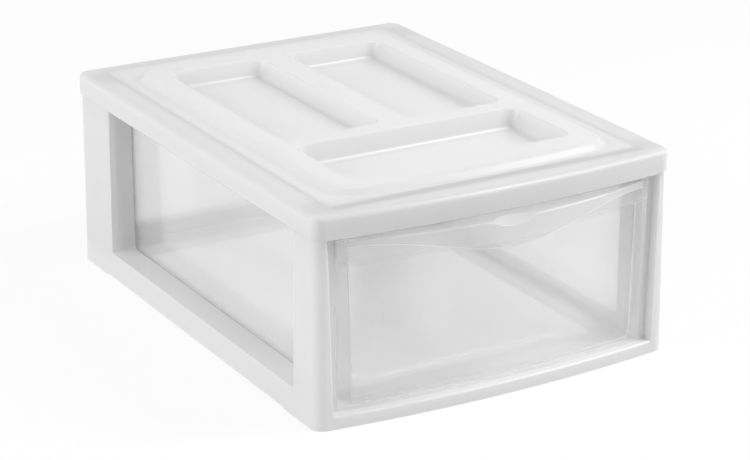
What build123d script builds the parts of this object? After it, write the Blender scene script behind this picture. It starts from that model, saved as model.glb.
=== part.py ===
"""Stackable drawer box: a moulded frame with open windows, a snap-on cover with three
trays in its top, and a clear drawer that slides out at the front.

Millimetres. +X is the width (right, seen from the front), +Y is the depth (the front is
at -Y) and +Z is up. The pieces are drawn about the middle of the casing's footprint, at
table level. On export they move back a little, so that the origin is the middle of the
whole box with its pull.
"""
from build123d import *
import math
import os

# ---- casing, overall -------------------------------------------------------------
width = 300.0
depth = 400.0                 # corner to corner; the bowed front stands out past it
height = 160.0                # table to the flat of the cover
front_bow = 10.0              # how far the middle of the front stands out
corner_radius = 10.0
wall = 2.2                    # of the milky mouldings
fit_gap = 0.3                 # between mouldings that seat in each other

# ---- cover -----------------------------------------------------------------------
skirt_height = 18.0
skirt_bevel = 0.7             # along its lower edge
cover_edge_round = 3.5
plateau_side_margin = 37.0    # from the casing's sides to the raised middle's top edge
plateau_front_margin = 28.5
plateau_back_margin = 37.0
plateau_rise = 5.5
plateau_flare = 4.5           # how far its foot stands outside its top edge
plateau_corner = 26.0         # at its foot
plateau_bow = 7.0
plateau_edge_bevel = 1.0
plateau_foot_bevel = 1.2      # fills the angle at its foot
tray_draft = 18.0             # degrees, of all tray walls
tray_corner = 10.0
tray_floor_round = 4.5
tray_edge_bevel = 0.8
rear_tray_depth = 14.0
front_tray_depth = 15.5
front_tray_length = 79.0
tray_side_border = 17.0       # from the plateau's top edge to the trays
tray_front_border = 21.5
tray_back_border = 22.0
tray_web = 22.0               # between the two rear trays
tray_cross_web = 17.0         # between them and the front tray
plug_length = 12.0            # of the pegs under the cover that enter the hollow posts
plug_lead = 1.0

# ---- frame -----------------------------------------------------------------------
skirt_overhang = 1.5          # of the cover's skirt past the top of the posts
side_wall = 20.5              # of the hollow side walls, outside to inside
back_wall = 13.0
runner_height = 10.0          # what the drawer slides on; also the top of the front rail
sill_height = 22.0            # bottom edge of the three windows
front_post = 33.0             # along the side, from the casing's corner to the window
back_post = 59.0
back_post_width = 43.0        # along the back
rebate_low = 6.5              # how much wider than the bay the front mouth is, each side
rebate_high = 9.5             # and under the cover
top_rail_depth = 16.0         # of the rail over the front mouth
runner_width = 14.5
front_sole = 35.0             # depth of the base's front cross rail, and of its back one
back_sole = 37.0
stack_gap = 2.0               # round the plateau of the box below
foot_relief = 1.2             # the skirting is lifted between the corners
foot_length = 48.0
mouth_bevel = 1.2             # moulded edge round the front mouth
window_corner = 3.0
neck_lead = 1.2               # bevel that leads the cover on

# ---- drawer ----------------------------------------------------------------------
tub_wall = 2.0
tub_gap = 1.5                 # each side, to the bay
tub_back_gap = 2.5
tub_root = 0.8                # of the tub's front wall behind the face of the panel
tub_corner = 14.0
tub_bottom_round = 9.0
tub_draft = 0.5               # degrees
rim_drop = 6.0                # of the tub's rim below the cover's skirt
rim_bead = 0.8
rim_bead_height = 4.0
slide_gap = 0.3               # under the tub
floor_thickness = 2.2
pad_side_border = 35.0        # from the tub's outside to the raised middle of its floor
pad_front_border = 38.0
pad_back_border = 34.5
pad_rise = 2.0
pad_corner = 14.0
panel_overlap = 2.5           # of the drawer's front over each side of the bay's mouth
panel_thickness = 2.4
panel_recess = 5.0            # behind the front of the frame
panel_bottom_gap = 0.8        # above the front rail
panel_bow = 8.5
panel_edge_bevel = 0.8
lip_drop = 2.0                # of the pull's top below the cover's skirt
lip_reach = 15.0              # of the pull, in front of the panel's middle
lip_end_reach = 3.0           # and at its two ends
lip_end_margin = 7.0          # from the panel's ends to the pull's
lip_wall = 2.0
lip_corner = 2.4
lip_edge_bevel = 0.7
apron_drop = 21.5             # of the pull's wavy lower edge below its top, in the middle
apron_end_drop = 5.5          # and at the two ends
apron_wave = 0.36             # share of the drop that is gone a third of the way out
scoop_half_width = 20.0
scoop_depth = 5.5             # at the front edge of the pull
scoop_reach = 9.0             # how far back it runs out

# ---- drafting values -------------------------------------------------------------
least_radius = 1.0            # of a corner that an inset would sharpen
past = 1.0                    # how far a cutter runs past what it cuts

# ---- levels and places that follow -----------------------------------------------
half_width = width / 2
half_depth = depth / 2
shoulder = height - skirt_height                  # top of the windows and of the posts
cover_underside = height - wall
plateau_top = height + plateau_rise
neck_inset = wall + fit_gap
bay_half_width = half_width - side_wall           # inner faces of the side walls
bay_back = half_depth - back_wall
side_window_front = half_depth - front_post       # in front of the origin
side_window_back = half_depth - back_post
back_window_half = half_width - back_post_width
mouth_low = bay_half_width + rebate_low           # half width of the front mouth at the runners
mouth_high = bay_half_width + rebate_high
runner_edge = bay_half_width - runner_width       # inner edge of the two runners

plateau_half_width = half_width - plateau_side_margin
plateau_front = half_depth - plateau_front_margin
plateau_back = half_depth - plateau_back_margin
tray_half_span = plateau_half_width - tray_side_border
front_tray_front = plateau_front - tray_front_border
front_tray_back = front_tray_front - front_tray_length
rear_tray_front = front_tray_back - tray_cross_web
rear_tray_back = plateau_back - tray_back_border

panel_half_width = bay_half_width + panel_overlap
casing_front_at_panel = half_depth + front_bow * (1 - (panel_half_width / half_width) ** 2)
panel_front_end = casing_front_at_panel - panel_recess
rebate_back = panel_front_end - panel_thickness - fit_gap
tub_half_width = bay_half_width - tub_gap
tub_back = bay_back - tub_back_gap
tub_bottom = runner_height + slide_gap
floor_top = tub_bottom + floor_thickness
rim_height = shoulder - rim_drop
lip_top = shoulder - lip_drop
lip_half_width = panel_half_width - lip_end_margin


def taper_angle(run, rise):
    """The draft that moves a wall by run over a height of rise."""
    return math.degrees(math.atan(run / rise))


def slab(x_low, x_high, y_low, y_high, z_low, z_high):
    """A plain block between two corners."""
    size = (x_high - x_low, y_high - y_low, z_high - z_low)
    middle = ((x_low + x_high) / 2, (y_low + y_high) / 2, (z_low + z_high) / 2)
    return Pos(*middle) * Box(*size)


def bowed_outline(half_x, front, back, bow, radius, level=0.0):
    """Plan shape with straight sides and back, a bowed front and rounded corners.

    It is drawn through the centres of its corners and then offset by their radius, which
    keeps the corners truly tangent to the bow."""
    bow_radius = (half_x ** 2 + bow ** 2) / (2 * bow)
    bow_centre = bow_radius - front - bow
    corner_x = half_x - radius
    corner_front = bow_centre - math.sqrt((bow_radius - radius) ** 2 - corner_x ** 2)
    corner_back = back - radius
    edges = [
        ThreePointArc((-corner_x, corner_front), (0, radius - front - bow),
                      (corner_x, corner_front)),
        Line((corner_x, corner_front), (corner_x, corner_back)),
        Line((corner_x, corner_back), (-corner_x, corner_back)),
        Line((-corner_x, corner_back), (-corner_x, corner_front)),
    ]
    face = offset(make_face(Wire(edges)), radius, kind=Kind.ARC)
    return Pos(0, 0, level) * face


def casing_outline(inset, level=0.0):
    """The casing's plan shape, drawn in all round by inset."""
    radius = max(corner_radius - inset, least_radius)
    return bowed_outline(half_width - inset, half_depth - inset, half_depth - inset,
                         front_bow, radius, level)


# ---- the frame -------------------------------------------------------------------
def frame_hollows():
    """The space inside the double walls: open above in the posts, open below in the rails."""
    inner_x = bay_half_width + wall
    inner_back = bay_back + wall
    inner_front = rebate_back - wall
    front = -half_depth - front_bow
    leg_x = mouth_high + wall
    bay_core = slab(-inner_x, inner_x, -inner_front, inner_back, -past, height + past)
    front_core = slab(-leg_x, leg_x, front, -inner_front, runner_height, shoulder + wall)
    side_core = slab(-half_width, half_width, -side_window_front - wall,
                     side_window_back + wall, sill_height - wall, shoulder + wall)
    back_core = slab(-back_window_half - wall, back_window_half + wall, 0, half_depth,
                     sill_height - wall, shoulder + wall)
    top_core = slab(-inner_x, inner_x, -half_depth + top_rail_depth - wall, inner_back,
                    -past, height + past)
    posts = extrude(casing_outline(neck_inset + wall, sill_height), height)
    posts -= bay_core + front_core + side_core + back_core + top_core
    low = extrude(casing_outline(wall), sill_height - wall)
    low -= slab(-inner_x, inner_x, front, inner_back, runner_height - wall, sill_height)
    low -= slab(-leg_x, leg_x, front, -inner_front, runner_height - wall, sill_height)
    low -= stacking_well(wall)
    return posts, low


def stacking_well(margin):
    """The space in the frame's foot that the raised top of the box below enters."""
    return extrude(plateau_outline(-stack_gap - margin, -past), sill_height)


def front_mouth():
    """Cutter of the front mouth: a trapezium, a little wider at the top."""
    profile = Polyline(
        (-mouth_low, runner_height), (mouth_low, runner_height),
        (mouth_high, shoulder), (-mouth_high, shoulder), close=True)
    face = Plane.XZ.offset(rebate_back) * make_face(profile)
    return extrude(face, half_depth, dir=(0, -1, 0))


def front_mouth_edges(shell):
    """The edges where the front mouth meets the bowed front face, but for its top one."""
    found = []
    for edge in shell.edges():
        middle = edge @ 0.5
        in_front = middle.Y < -half_depth + skirt_overhang
        in_height = runner_height - past < middle.Z < shoulder - past
        if in_front and in_height and abs(middle.X) < mouth_high:
            found.append(edge)
    return found


def window(run, across, along):
    """Cutter of an open window that ends at the cover's skirt, with rounded lower corners."""
    block = Pos(0, 0, (sill_height + shoulder) / 2) * Box(run, across, shoulder - sill_height)
    lower = block.faces().sort_by(Axis.Z)[0].edges().filter_by(Axis.X)
    block = fillet(lower, window_corner)
    return along * block


def base_frame():
    """Foot, four hollow posts and top rails in one moulding."""
    shell = extrude(casing_outline(0), shoulder, taper=taper_angle(skirt_overhang, shoulder))
    shell -= front_mouth()
    shell = chamfer(front_mouth_edges(shell), mouth_bevel)
    neck = extrude(casing_outline(neck_inset, shoulder), cover_underside - shoulder)
    shell += chamfer(neck.faces().sort_by(Axis.Z)[-1].edges(), neck_lead)
    shell -= slab(-bay_half_width, bay_half_width, -half_depth - front_bow, bay_back,
                  runner_height, shoulder)
    shell -= slab(-bay_half_width, bay_half_width, -half_depth + top_rail_depth, bay_back,
                  shoulder - past, height)
    window_length = side_window_front + side_window_back
    window_middle = (side_window_back - side_window_front) / 2
    shell -= window(width + past, window_length, Pos(0, window_middle, 0))
    shell -= window(half_depth, 2 * back_window_half, Pos(0, half_depth, 0) * Rot(0, 0, 90))
    posts, low = frame_hollows()
    shell -= posts
    shell -= low
    below_runners = slab(-half_width, half_width, -half_depth, half_depth,
                         -past, runner_height - wall)
    shell -= stacking_well(0) & below_runners
    shell -= slab(-runner_edge, runner_edge, -half_depth + front_sole, half_depth - back_sole,
                  -past, runner_height + past)
    relief_y = half_depth - foot_length
    relief_x = half_width - foot_length
    shell -= slab(-half_width, half_width, -relief_y, relief_y, -past, foot_relief)
    shell -= slab(-relief_x, relief_x, 0, half_depth, -past, foot_relief)
    return shell


# ---- the cover -------------------------------------------------------------------
def plateau_outline(shrink, level):
    """Plan shape of the raised middle's foot, drawn in all round by shrink."""
    reach = plateau_flare - shrink
    return bowed_outline(plateau_half_width + reach, plateau_front + reach,
                         plateau_back + reach, plateau_bow, plateau_corner - shrink, level)


def plateau(shrink, level):
    """The raised middle of the cover; shrink draws it in for its underside."""
    return extrude(plateau_outline(shrink, level), plateau_rise,
                   taper=taper_angle(plateau_flare, plateau_rise))


def tray_places():
    """Middle, size and depth of each tray."""
    rear_width = tray_half_span - tray_web / 2
    rear_length = rear_tray_front + rear_tray_back
    rear_x = (tray_half_span + tray_web / 2) / 2
    rear_y = (rear_tray_back - rear_tray_front) / 2
    front_y = -(front_tray_front + front_tray_back) / 2
    return [
        (-rear_x, rear_y, rear_width, rear_length, rear_tray_depth),
        (rear_x, rear_y, rear_width, rear_length, rear_tray_depth),
        (0, front_y, 2 * tray_half_span, front_tray_length, front_tray_depth),
    ]


def tray_block(x, y, across, along, deep, grow):
    """A drafted block for a tray's space; grow makes it larger all round and below."""
    mouth = RectangleRounded(across + 2 * grow, along + 2 * grow, tray_corner + grow)
    return extrude(Pos(x, y, plateau_top) * mouth, deep + grow, dir=(0, 0, -1),
                   taper=tray_draft)


def tray_space(x, y, across, along, deep):
    """A tray's space, round along its floor."""
    space = tray_block(x, y, across, along, deep, 0)
    floor_corner = tray_corner - deep * math.tan(math.radians(tray_draft))
    radius = min(tray_floor_round, 0.9 * floor_corner)
    return fillet(space.faces().sort_by(Axis.Z)[0].edges(), radius)


def cover_plugs():
    """Pegs under the cover, one in the hollow of each post."""
    hollow_low = bay_half_width + wall
    hollow_high = half_width - neck_inset - wall
    across = hollow_high - hollow_low - 2 * fit_gap
    back_span = (side_window_back + wall, half_depth - neck_inset - wall)
    front_span = (-rebate_back + wall, -side_window_front - wall)
    middle_z = cover_underside - plug_length / 2
    pegs = []
    for low, high in (back_span, front_span):
        along = min(high - low - 2 * fit_gap, 2 * across)
        for sign in (-1, 1):
            middle = (sign * (hollow_low + hollow_high) / 2, (low + high) / 2, middle_z)
            peg = Pos(*middle) * Box(across, along, plug_length)
            pegs.append(chamfer(peg.faces().sort_by(Axis.Z)[0].edges(), plug_lead))
    return pegs


def top_cover():
    """Skirted lid with a raised, tray-moulded middle that locates the next box."""
    lid = extrude(casing_outline(0, shoulder + fit_gap), skirt_height - fit_gap)
    lid = fillet(lid.faces().sort_by(Axis.Z)[-1].edges(), cover_edge_round)
    lid = chamfer(lid.faces().sort_by(Axis.Z)[0].edges(), skirt_bevel)
    lid += plateau(0, height)
    lid = chamfer(lid.faces().sort_by(Axis.Z)[-1].edges(), plateau_edge_bevel)
    lid = chamfer(plateau_foot_edges(lid), plateau_foot_bevel)
    lid -= extrude(casing_outline(wall, shoulder), cover_underside - shoulder)
    lid -= plateau(wall, cover_underside)
    for place in tray_places():
        lid += tray_block(*place, wall)
    for place in tray_places():
        lid -= tray_space(*place)
    lid = chamfer(tray_mouths(lid), tray_edge_bevel)
    for peg in cover_plugs():
        lid += peg
    return lid


def plateau_foot_edges(lid):
    """The inner edges of the cover's flat rim, where the plateau rises from it."""
    rim = lid.faces().filter_by(Axis.Z).sort_by(Axis.Z)[-2]
    return rim.inner_wires()[0].edges()


def tray_mouths(lid):
    """The upper edges of the trays."""
    top = lid.faces().filter_by(Axis.Z).sort_by(Axis.Z)[-1]
    mouths = ShapeList()
    for wire in top.inner_wires():
        mouths += wire.edges()
    return mouths


# ---- the drawer ------------------------------------------------------------------
def panel_face(x):
    """How far the panel's front face stands in front of the origin, at x."""
    return panel_front_end + panel_bow * (1 - (x / panel_half_width) ** 2)


def tub_outline(inset, front_inset, level):
    """Plan shape of the tub, drawn in by the insets; its front follows the panel's bow."""
    front = panel_face(tub_half_width) - tub_root
    bow = panel_face(0) - panel_face(tub_half_width)
    return bowed_outline(tub_half_width - inset, front - front_inset, tub_back - inset, bow,
                         tub_corner - inset, level)


def tub():
    """Open box with drafted walls and round lower edges; the bead round its rim runs into
    the panel at both ends."""
    draw = (rim_height - tub_bottom) * math.tan(math.radians(tub_draft))
    outside = extrude(tub_outline(draw, draw, tub_bottom), rim_height - tub_bottom,
                      taper=-tub_draft)
    outside = fillet(outside.faces().sort_by(Axis.Z)[0].edges(), tub_bottom_round)
    outside += extrude(tub_outline(-rim_bead, 0, rim_height - rim_bead_height), rim_bead_height)
    inset = draw + tub_wall
    inside = extrude(tub_outline(inset, inset, floor_top), rim_height - floor_top,
                     taper=-tub_draft)
    inside = fillet(inside.faces().sort_by(Axis.Z)[0].edges(), tub_bottom_round - tub_wall)
    return outside - inside


def floor_pad(level):
    """The raised middle of the tub's floor, as a low block with sloping edges."""
    half_x = tub_half_width - pad_side_border
    front = panel_front_end - pad_front_border
    back = tub_back - pad_back_border
    plan = RectangleRounded(2 * half_x, front + back, pad_corner)
    return extrude(Pos(0, (back - front) / 2, level) * plan, pad_rise, taper=45)


def front_panel():
    """The bowed drawer front, wider than the tub, which closes against the frame's legs."""
    back_middle = (0, -panel_face(0) + panel_thickness)
    back_end = -panel_front_end + panel_thickness
    outer = ThreePointArc((-panel_half_width, -panel_front_end), (0, -panel_face(0)),
                          (panel_half_width, -panel_front_end))
    inner = ThreePointArc((panel_half_width, back_end), back_middle, (-panel_half_width, back_end))
    plan = make_face(Wire([outer, Line(outer @ 1, inner @ 0), inner, Line(inner @ 1, outer @ 0)]))
    bottom = runner_height + panel_bottom_gap
    panel = extrude(Pos(0, 0, bottom) * plan, lip_top - bottom)
    outline = panel.faces().sort_by(Axis.Y)[0].edges().sort_by(Axis.Z)[:-1]
    return chamfer(outline, panel_edge_bevel)


def apron_cut():
    """What is cut away below the pull's wavy edge."""
    low_middle = lip_top - apron_drop
    low_end = lip_top - apron_end_drop
    low_third = low_middle + apron_wave * (low_end - low_middle)
    wave = Spline((-lip_half_width, low_end), (-lip_half_width / 3, low_third), (0, low_middle),
                  (lip_half_width / 3, low_third), (lip_half_width, low_end))
    rest = Polyline(wave @ 1, (half_width, low_end), (half_width, 0), (-half_width, 0),
                    (-half_width, low_end), wave @ 0)
    face = Plane.XZ * make_face([wave] + rest.edges())
    return extrude(face, 2 * half_depth, dir=(0, -1, 0))


def lip_plan(inset):
    """Plan shape of the pull, from inside the panel out to its bowed front edge."""
    half_x = lip_half_width - inset
    root = panel_face(half_x) - panel_thickness / 2
    tip = panel_face(lip_half_width) + lip_end_reach - inset
    outer = ThreePointArc((-half_x, -tip), (0, -panel_face(0) - lip_reach + inset), (half_x, -tip))
    inner = ThreePointArc((half_x, -root), (0, -panel_face(0) + panel_thickness / 2),
                          (-half_x, -root))
    right = Line(outer @ 1, inner @ 0)
    left = Line(inner @ 1, outer @ 0)
    face = make_face(Wire([outer, right, inner, left]))
    return fillet(face.vertices().sort_by(Axis.Y)[:2], lip_corner - inset)


def pull_lip():
    """Flared pull across the panel: a ledge with a wavy apron, and a thumb scoop on top."""
    underside = lip_top - lip_wall
    low = lip_top - apron_drop - past
    block = extrude(Pos(0, 0, low) * lip_plan(0), lip_top - low)
    lip = block - extrude(Pos(0, 0, low - past) * lip_plan(lip_wall), underside - low + past)
    lip += block & scoop_cylinder(lip_wall)
    lip -= apron_cut()
    lip = chamfer(lip.faces().sort_by(Axis.Z)[-1].edges().sort_by(Axis.Y)[0], lip_edge_bevel)
    return lip - scoop_cylinder(0)


def scoop_cylinder(grow):
    """Round cutter of the thumb scoop; it runs out towards the back of the pull."""
    slope = math.atan(scoop_depth / scoop_reach)
    radius = scoop_radius(slope)
    front = panel_face(0) + lip_reach
    axis_height = lip_top - scoop_depth + radius / math.cos(slope)
    rod = Cylinder(radius + grow, 2 * (radius * math.tan(slope) + lip_reach + past))
    lean = Pos(0, -front, axis_height) * Rot(-90 + math.degrees(slope), 0, 0)
    return lean * rod


def scoop_radius(slope):
    """Radius of the leaning cutter whose mouth is as wide as the scoop at the front edge."""
    tall = scoop_depth * math.cos(slope)
    return (scoop_half_width ** 2 + tall ** 2) / (2 * tall)


def drawer():
    """Tub, front panel and pull in one clear moulding."""
    body = tub() + front_panel()
    body += floor_pad(floor_top)
    body -= floor_pad(tub_bottom)
    return body + pull_lip()


os.makedirs("parts", exist_ok=True)
pull_front = panel_face(0) + lip_reach
centring = Pos(0, (pull_front - half_depth) / 2, 0)
for name, make in (("base_frame", base_frame), ("top_cover", top_cover), ("drawer", drawer)):
    export_step(centring * make(), f"parts/{name}.step")
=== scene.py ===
"""A stackable drawer box of milky and clear polypropylene, lit as on a light table.

Metres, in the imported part's own frame: +X right, +Y to the back, +Z up. The casing and its
cover are one milky moulding grade, the drawer a clear one.
"""
import math

import bpy
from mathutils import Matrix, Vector

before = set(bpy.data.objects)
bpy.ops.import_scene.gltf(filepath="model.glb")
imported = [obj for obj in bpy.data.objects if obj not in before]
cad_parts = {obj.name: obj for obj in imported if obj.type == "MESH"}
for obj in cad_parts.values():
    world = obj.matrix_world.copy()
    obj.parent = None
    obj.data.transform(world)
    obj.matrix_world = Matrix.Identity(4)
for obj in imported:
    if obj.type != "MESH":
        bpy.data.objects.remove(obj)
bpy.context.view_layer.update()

bpy.ops.object.select_all(action="DESELECT")

# ---- sizes -------------------------------------------------------------------------
plastic_ior = 1.49                  # polypropylene
grain_size = 0.0012                 # spark finish, 0.4 mm in the mould, coarser so it shows
grain_height = 0.0002
wave_length = 0.090                 # slow waves that the melt's flow leaves in the clear walls
wave_height = 0.002
painted_edge_light_reach = 0.0012               # how near its edges and corners the drawer gets a painted highlight, a thicker white haze
painted_pull_light_low, painted_pull_light_full = 0.112, 0.124              # heights where the painted light on the pull, a thicker white haze, starts and is full
painted_pull_light_inner, painted_pull_light_outer = -0.170, -0.185         # depths where it starts, is full
floor_size = 30.0

camera_azimuth = math.radians(-30.111)          # from straight ahead of the front
camera_elevation = math.radians(20.482)
camera_distance = 1.967
camera_aim = Vector((0.0203, 0.0214, 0.0521))
camera_lens = 118.8                 # mm, over a sensor 36 mm wide

room_light = 0.46                   # of the white room, on the object
room_white = 1.0                    # of the same room, to the eye


# ---- colour and node helpers -------------------------------------------------------
def srgb(code):
    """A hex colour as linear values, with alpha 1."""
    values = []
    for i in (1, 3, 5):
        c = int(code[i:i + 2], 16) / 255
        values.append(c / 12.92 if c <= 0.04045 else ((c + 0.055) / 1.055) ** 2.4)
    return (*values, 1.0)


def add(tree, kind, settings=None, links=None, **attributes):
    """A node with its attributes, its sockets' values and its sockets' links."""
    node = tree.nodes.new(kind)
    for key, value in attributes.items():
        setattr(node, key, value)
    for key, value in (settings or {}).items():
        node.inputs[key].default_value = value
    for key, source in (links or {}).items():
        tree.links.new(source, node.inputs[key])
    return node


def empty_material(name):
    """A material with no nodes, and its node tree."""
    material = bpy.data.materials.new(name)
    material.use_nodes = True
    material.node_tree.nodes.clear()
    return material, material.node_tree


def seen_as_white(tree):
    """1 for a ray that looks, glances off or passes through, 0 for one that gathers light."""
    path = add(tree, "ShaderNodeLightPath")
    seen = path.outputs["Is Camera Ray"]
    for ray in ("Is Transmission Ray", "Is Glossy Ray"):
        larger = add(tree, "ShaderNodeMath", {}, {0: seen, 1: path.outputs[ray]},
                     operation="MAXIMUM")
        seen = larger.outputs["Value"]
    return seen


# ---- milky casing ------------------------------------------------------------------
def milky_polypropylene():
    """Natural polypropylene, injection moulded with a satin finish.

    To the eye it is a plain white that glows a little where light comes from behind, with
    soft reflections and the faint unevenness of a spark-finished mould."""
    material, tree = empty_material("milky_polypropylene")
    place = add(tree, "ShaderNodeTexCoord")
    grain = add(tree, "ShaderNodeTexNoise",
                {"Scale": 1 / grain_size, "Detail": 2.0, "Roughness": 0.6},
                {"Vector": place.outputs["Object"]})
    bump = add(tree, "ShaderNodeBump", {"Strength": 0.03, "Distance": grain_height},
               {"Height": grain.outputs["Fac"]})
    body = add(tree, "ShaderNodeBsdfPrincipled",
               {"Base Color": srgb("#F1F1F1"), "IOR": plastic_ior, "Roughness": 0.24},
               {"Normal": bump.outputs["Normal"]})
    glow = add(tree, "ShaderNodeBsdfTranslucent", {"Color": srgb("#F1F1F1")},
               {"Normal": bump.outputs["Normal"]})
    surface = add(tree, "ShaderNodeMixShader", {"Fac": 0.4},
                  {1: body.outputs["BSDF"], 2: glow.outputs["BSDF"]})
    add(tree, "ShaderNodeOutputMaterial", {}, {"Surface": surface.outputs["Shader"]})
    return material


# ---- clear drawer ------------------------------------------------------------------
def clear_wall(tree, place, slant):
    """What a clear wall shows: mostly what is behind it, a little bent, and a gloss."""
    wave = add(tree, "ShaderNodeTexNoise",
               {"Scale": 1 / wave_length, "Detail": 1.0, "Roughness": 0.4},
               {"Vector": place.outputs["Object"]})
    bump = add(tree, "ShaderNodeBump", {"Strength": 0.1, "Distance": wave_height},
               {"Height": wave.outputs["Fac"]})
    rough = add(tree, "ShaderNodeMapRange", {"To Min": 0.07, "To Max": 0.12},
                {"Value": wave.outputs["Fac"]})
    bent = add(tree, "ShaderNodeBsdfPrincipled",
               {"Base Color": srgb("#FCFCFC"), "IOR": plastic_ior, "Transmission Weight": 1.0},
               {"Roughness": rough.outputs["Result"], "Normal": bump.outputs["Normal"]})
    # the walls are thin and parallel, so most of the light goes straight through
    straight = add(tree, "ShaderNodeBsdfTransparent", {"Color": srgb("#FCFCFC")})
    through = add(tree, "ShaderNodeMixShader", {"Fac": 0.85},
                  {1: bent.outputs["BSDF"], 2: straight.outputs["BSDF"]})
    # a polished face throws back more of the room the flatter the look
    gloss = add(tree, "ShaderNodeBsdfGlossy", {"Color": srgb("#FFFFFF"), "Roughness": 0.08},
                {"Normal": bump.outputs["Normal"]})
    steep = add(tree, "ShaderNodeMath", {1: 4.0}, {0: slant.outputs["Facing"]},
                operation="POWER")
    throw = add(tree, "ShaderNodeMapRange", {"To Min": 0.04, "To Max": 0.9},
                {"Value": steep.outputs["Value"]})
    return add(tree, "ShaderNodeMixShader", {},
               {"Fac": throw.outputs["Result"], 1: through.outputs["Shader"],
                2: gloss.outputs["BSDF"]})


def haze(tree):
    """The milkiness in the clear plastic, which glows from both sides."""
    back = add(tree, "ShaderNodeBsdfTranslucent", {"Color": srgb("#F3F3F3")})
    front = add(tree, "ShaderNodeBsdfDiffuse", {"Color": srgb("#F3F3F3")})
    return add(tree, "ShaderNodeMixShader", {"Fac": 0.5},
               {1: front.outputs["BSDF"], 2: back.outputs["BSDF"]})


def haze_and_painted_light_share(tree, place, slant):
    """How much of the haze shows: the most that slant, painted edge light or painted pull
    light asks for.
    """
    # painted highlight: more white haze within about a millimetre of every edge and corner,
    # standing in for the light the edges gather
    rounded = add(tree, "ShaderNodeBevel", {"Radius": painted_edge_light_reach}, samples=8)
    shape = add(tree, "ShaderNodeNewGeometry")
    flat = add(tree, "ShaderNodeVectorMath", {},
               {0: rounded.outputs["Normal"], 1: shape.outputs["True Normal"]},
               operation="DOT_PRODUCT")
    painted_edge_light = add(tree, "ShaderNodeMapRange",
                 {"From Min": 0.97, "From Max": 0.85, "To Min": 0.0, "To Max": 0.6},
                 {"Value": flat.outputs["Value"]})
    # a slanting look passes through more plastic
    depth = add(tree, "ShaderNodeMapRange",
                {"From Min": 0.2, "From Max": 0.8, "To Min": 0.12, "To Max": 0.22},
                {"Value": slant.outputs["Facing"]})
    # painted light: the pull stands over the panel, and high at the front it gets more white
    # haze so that it reads lighter
    split = add(tree, "ShaderNodeSeparateXYZ", {}, {"Vector": place.outputs["Object"]})
    high = add(tree, "ShaderNodeMapRange",
               {"From Min": painted_pull_light_low, "From Max": painted_pull_light_full, "To Min": 0.0, "To Max": 0.3},
               {"Value": split.outputs["Z"]})
    ahead = add(tree, "ShaderNodeMapRange", {"From Min": painted_pull_light_inner, "From Max": painted_pull_light_outer},
                {"Value": split.outputs["Y"]})
    painted_pull_light = add(tree, "ShaderNodeMath", {},
               {0: high.outputs["Result"], 1: ahead.outputs["Result"]}, operation="MULTIPLY")
    share = painted_edge_light.outputs["Result"]
    for asked in (depth.outputs["Result"], painted_pull_light.outputs["Value"]):
        larger = add(tree, "ShaderNodeMath", {}, {0: share, 1: asked}, operation="MAXIMUM")
        share = larger.outputs["Value"]
    return share


def clear_polypropylene():
    """Clarified polypropylene, injection moulded and polished.

    To the eye it is clear with a light haze: what is behind shows softly, a painted highlight
    of thicker haze lightens its edges and its pull, and lamps draw soft streaks on it."""
    material, tree = empty_material("clear_polypropylene")
    place = add(tree, "ShaderNodeTexCoord")
    slant = add(tree, "ShaderNodeLayerWeight", {"Blend": 0.5})
    seen = add(tree, "ShaderNodeMixShader", {},
               {"Fac": haze_and_painted_light_share(tree, place, slant),
                1: clear_wall(tree, place, slant).outputs["Shader"],
                2: haze(tree).outputs["Shader"]})
    # lamps reach what is behind the drawer's walls
    path = add(tree, "ShaderNodeLightPath")
    passing = add(tree, "ShaderNodeBsdfTransparent", {"Color": srgb("#F6F6F6")})
    surface = add(tree, "ShaderNodeMixShader", {},
                  {"Fac": path.outputs["Is Shadow Ray"], 1: seen.outputs["Shader"],
                   2: passing.outputs["BSDF"]})
    add(tree, "ShaderNodeOutputMaterial", {}, {"Surface": surface.outputs["Shader"]})
    return material


def dress(node, material):
    """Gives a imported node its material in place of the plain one."""
    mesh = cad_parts[node].data
    mesh.materials.clear()
    mesh.materials.append(material)


milky = milky_polypropylene()
clear = clear_polypropylene()
dress("base_frame", milky)
dress("top_cover", milky)
dress("drawer", clear)


# ---- floor -------------------------------------------------------------------------
def white_paper():
    """Matt white paper sweep; what the eye sees of it is lifted to white."""
    material, tree = empty_material("white_paper_floor")
    paper = add(tree, "ShaderNodeBsdfDiffuse", {"Color": srgb("#EEEEEE")})
    lift = add(tree, "ShaderNodeEmission", {"Color": srgb("#FFFFFF"), "Strength": 1.0})
    # the tenth that isn't lifted keeps the object's shadow
    share = add(tree, "ShaderNodeMath", {1: 0.9}, {0: seen_as_white(tree)},
                operation="MULTIPLY")
    surface = add(tree, "ShaderNodeMixShader", {},
                  {"Fac": share.outputs["Value"], 1: paper.outputs["BSDF"],
                   2: lift.outputs["Emission"]})
    add(tree, "ShaderNodeOutputMaterial", {}, {"Surface": surface.outputs["Shader"]})
    return material


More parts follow.
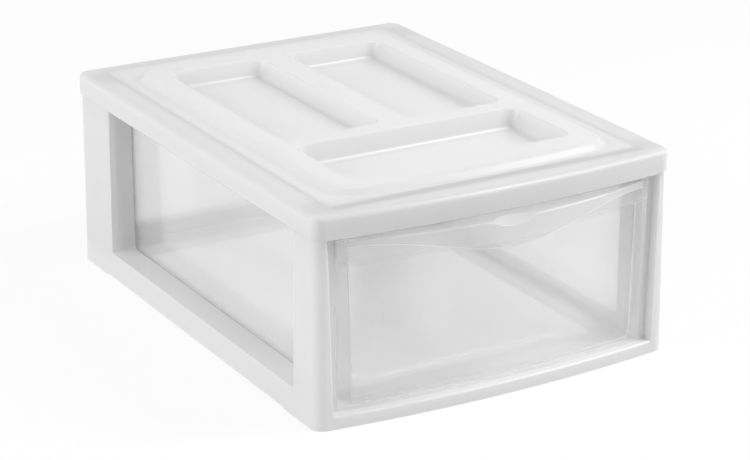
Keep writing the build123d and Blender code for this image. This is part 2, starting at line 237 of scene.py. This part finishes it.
bpy.ops.mesh.primitive_plane_add(size=floor_size, location=(0, 0, 0))
floor = bpy.context.object
floor.name = "floor"
floor.data.materials.append(white_paper())


# ---- light -------------------------------------------------------------------------
def facing(way):
    """The turn that points a lamp or a camera along a direction, upright."""
    return way.to_track_quat("-Z", "Y").to_euler()


def softbox(name, place, aim, width, height, power):
    """A rectangular area lamp that faces a point."""
    lamp = bpy.data.lights.new(name, "AREA")
    lamp.shape = "RECTANGLE"
    lamp.size = width
    lamp.size_y = height
    lamp.energy = power
    holder = bpy.data.objects.new(name, lamp)
    bpy.context.scene.collection.objects.link(holder)
    holder.location = place
    holder.rotation_euler = facing(Vector(aim) - Vector(place))


# one wide lamp at each side, and a small one that draws the thin lines on the edges
softbox("left_softbox", place=(-1.9, 0.35, 0.9), aim=(0, 0, 0.08),
        width=1.5, height=1.3, power=26)
softbox("edge_softbox", place=(0.85, -0.63, 1.55), aim=(0, 0, 0.1),
        width=0.35, height=0.35, power=11)
softbox("right_softbox", place=(1.7, -1.15, 1.5), aim=(0, -0.1, 0.08),
        width=1.1, height=1.0, power=23)

world = bpy.data.worlds.new("studio_white")
bpy.context.scene.world = world
world.use_nodes = True
sky = world.node_tree
sky.nodes.clear()
level = add(sky, "ShaderNodeMapRange", {"To Min": room_light, "To Max": room_white},
            {"Value": seen_as_white(sky)})
air = add(sky, "ShaderNodeBackground", {"Color": srgb("#FFFFFF")},
          {"Strength": level.outputs["Result"]})
add(sky, "ShaderNodeOutputWorld", {}, {"Surface": air.outputs["Background"]})

# ---- camera ------------------------------------------------------------------------
forward = Vector((-math.sin(camera_azimuth) * math.cos(camera_elevation),
                  math.cos(camera_azimuth) * math.cos(camera_elevation),
                  -math.sin(camera_elevation)))
camera = bpy.data.objects.new("camera", bpy.data.cameras.new("camera"))
bpy.context.scene.collection.objects.link(camera)
camera.data.sensor_width = 36.0
camera.data.lens = camera_lens
camera.data.clip_end = 50.0
camera.location = camera_aim - camera_distance * forward
camera.rotation_euler = facing(forward)
bpy.context.scene.camera = camera

bpy.context.scene.view_settings.view_transform = "Standard"
bpy.context.scene.cycles.use_denoising = True
